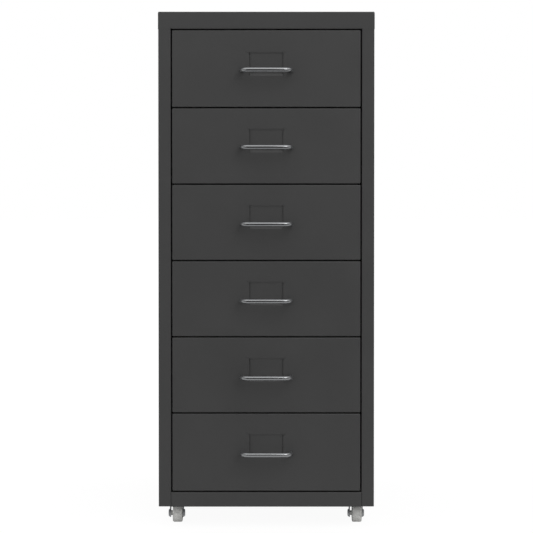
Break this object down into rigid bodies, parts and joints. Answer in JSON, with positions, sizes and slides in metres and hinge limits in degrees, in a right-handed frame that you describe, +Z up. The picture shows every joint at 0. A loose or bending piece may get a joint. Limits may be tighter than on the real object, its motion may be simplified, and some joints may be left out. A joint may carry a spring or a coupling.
{
  "type": "drawer cabinet",
  "caption": "Narrow folded-steel drawer cabinet on swivel castors, with shallow drawers, wire handles and pressed label holders.",
  "frame": {"origin": "on the floor, under the middle of the whole cabinet with its handles", "axes": "+Z up along the cabinet's height, -Y out of the drawer fronts, +X to the right as seen from the front"},
  "size_m": [0.2824, 0.434, 0.6744],
  "materials": {
    "shell_steel": "dark grey satin powder coat",
    "drawer_steel": "dark grey satin powder coat",
    "runner_steel": "dark grey powder coat, rubbed along the ledges",
    "chrome_wire": "bright nickel and chrome plate on drawn wire",
    "zinc_screws": "clear zinc plate",
    "castor_steel": "dull zinc plate on pressed steel",
    "ball_steel": "ground and polished",
    "wheel_plastic": "moulded, slightly cloudy light grey"
  },
  "bodies": {
    "cabinet": {"left_side_panel": "shell_steel", "right_side_panel": "shell_steel", "back_panel": "shell_steel", "top_cap": "shell_steel", "bottom_panel": "shell_steel", "bottom_rail": "shell_steel", "left_runners": "runner_steel", "right_runners": "runner_steel", "shell_screws": "zinc_screws", "castor_screws": "zinc_screws", "castor_kingpins": "castor_steel", "castor_balls": "ball_steel", "castor_front_left_plate": "castor_steel", "castor_front_right_plate": "castor_steel", "castor_rear_left_plate": "castor_steel", "castor_rear_right_plate": "castor_steel"},
    "drawer_1": {"drawer_1_front": "drawer_steel", "drawer_1_tray": "drawer_steel", "drawer_1_back": "drawer_steel", "drawer_1_handle": "chrome_wire", "drawer_1_screws": "zinc_screws"},
    "drawer_2": {"drawer_2_front": "drawer_steel", "drawer_2_tray": "drawer_steel", "drawer_2_back": "drawer_steel", "drawer_2_handle": "chrome_wire", "drawer_2_screws": "zinc_screws"},
    "drawer_3": {"drawer_3_front": "drawer_steel", "drawer_3_tray": "drawer_steel", "drawer_3_back": "drawer_steel", "drawer_3_handle": "chrome_wire", "drawer_3_screws": "zinc_screws"},
    "drawer_4": {"drawer_4_front": "drawer_steel", "drawer_4_tray": "drawer_steel", "drawer_4_back": "drawer_steel", "drawer_4_handle": "chrome_wire", "drawer_4_screws": "zinc_screws"},
    "drawer_5": {"drawer_5_front": "drawer_steel", "drawer_5_tray": "drawer_steel", "drawer_5_back": "drawer_steel", "drawer_5_handle": "chrome_wire", "drawer_5_screws": "zinc_screws"},
    "drawer_6": {"drawer_6_front": "drawer_steel", "drawer_6_tray": "drawer_steel", "drawer_6_back": "drawer_steel", "drawer_6_handle": "chrome_wire", "drawer_6_screws": "zinc_screws"},
    "front_left_fork": {"castor_front_left_fork": "castor_steel", "castor_front_left_axle": "castor_steel"},
    "front_left_wheel": {"castor_front_left_wheel": "wheel_plastic"},
    "front_right_fork": {"castor_front_right_fork": "castor_steel", "castor_front_right_axle": "castor_steel"},
    "front_right_wheel": {"castor_front_right_wheel": "wheel_plastic"},
    "rear_left_fork": {"castor_rear_left_fork": "castor_steel", "castor_rear_left_axle": "castor_steel"},
    "rear_left_wheel": {"castor_rear_left_wheel": "wheel_plastic"},
    "rear_right_fork": {"castor_rear_right_fork": "castor_steel", "castor_rear_right_axle": "castor_steel"},
    "rear_right_wheel": {"castor_rear_right_wheel": "wheel_plastic"}
  },
  "joints": [
    {"name": "drawer_1_slide", "type": "slide", "parent": "cabinet", "child": "drawer_1", "axis": [0, -1, 0], "range_m": [0, 0.3]},
    {"name": "drawer_2_slide", "type": "slide", "parent": "cabinet", "child": "drawer_2", "axis": [0, -1, 0], "range_m": [0, 0.3]},
    {"name": "drawer_3_slide", "type": "slide", "parent": "cabinet", "child": "drawer_3", "axis": [0, -1, 0], "range_m": [0, 0.3]},
    {"name": "drawer_4_slide", "type": "slide", "parent": "cabinet", "child": "drawer_4", "axis": [0, -1, 0], "range_m": [0, 0.3]},
    {"name": "drawer_5_slide", "type": "slide", "parent": "cabinet", "child": "drawer_5", "axis": [0, -1, 0], "range_m": [0, 0.3]},
    {"name": "drawer_6_slide", "type": "slide", "parent": "cabinet", "child": "drawer_6", "axis": [0, -1, 0], "range_m": [0, 0.3]},
    {"name": "front_left_swivel", "type": "hinge", "parent": "cabinet", "child": "front_left_fork", "pos_m": [-0.119, -0.14103, 0.024], "axis": [0, 0, 1], "continuous": true},
    {"name": "front_left_roll", "type": "hinge", "parent": "front_left_fork", "child": "front_left_wheel", "pos_m": [-0.119, -0.15002, 0.012], "axis": [1, 0, 0], "continuous": true},
    {"name": "front_right_swivel", "type": "hinge", "parent": "cabinet", "child": "front_right_fork", "pos_m": [0.119, -0.14103, 0.024], "axis": [0, 0, 1], "continuous": true},
    {"name": "front_right_roll", "type": "hinge", "parent": "front_right_fork", "child": "front_right_wheel", "pos_m": [0.119, -0.15002, 0.012], "axis": [1, 0, 0], "continuous": true},
    {"name": "rear_left_swivel", "type": "hinge", "parent": "cabinet", "child": "rear_left_fork", "pos_m": [-0.119, 0.16598, 0.024], "axis": [0, 0, 1], "continuous": true},
    {"name": "rear_left_roll", "type": "hinge", "parent": "rear_left_fork", "child": "rear_left_wheel", "pos_m": [-0.119, 0.15698, 0.012], "axis": [1, 0, 0], "continuous": true},
    {"name": "rear_right_swivel", "type": "hinge", "parent": "cabinet", "child": "rear_right_fork", "pos_m": [0.119, 0.16598, 0.024], "axis": [0, 0, 1], "continuous": true},
    {"name": "rear_right_roll", "type": "hinge", "parent": "rear_right_fork", "child": "rear_right_wheel", "pos_m": [0.119, 0.15698, 0.012], "axis": [1, 0, 0], "continuous": true}
  ]
}
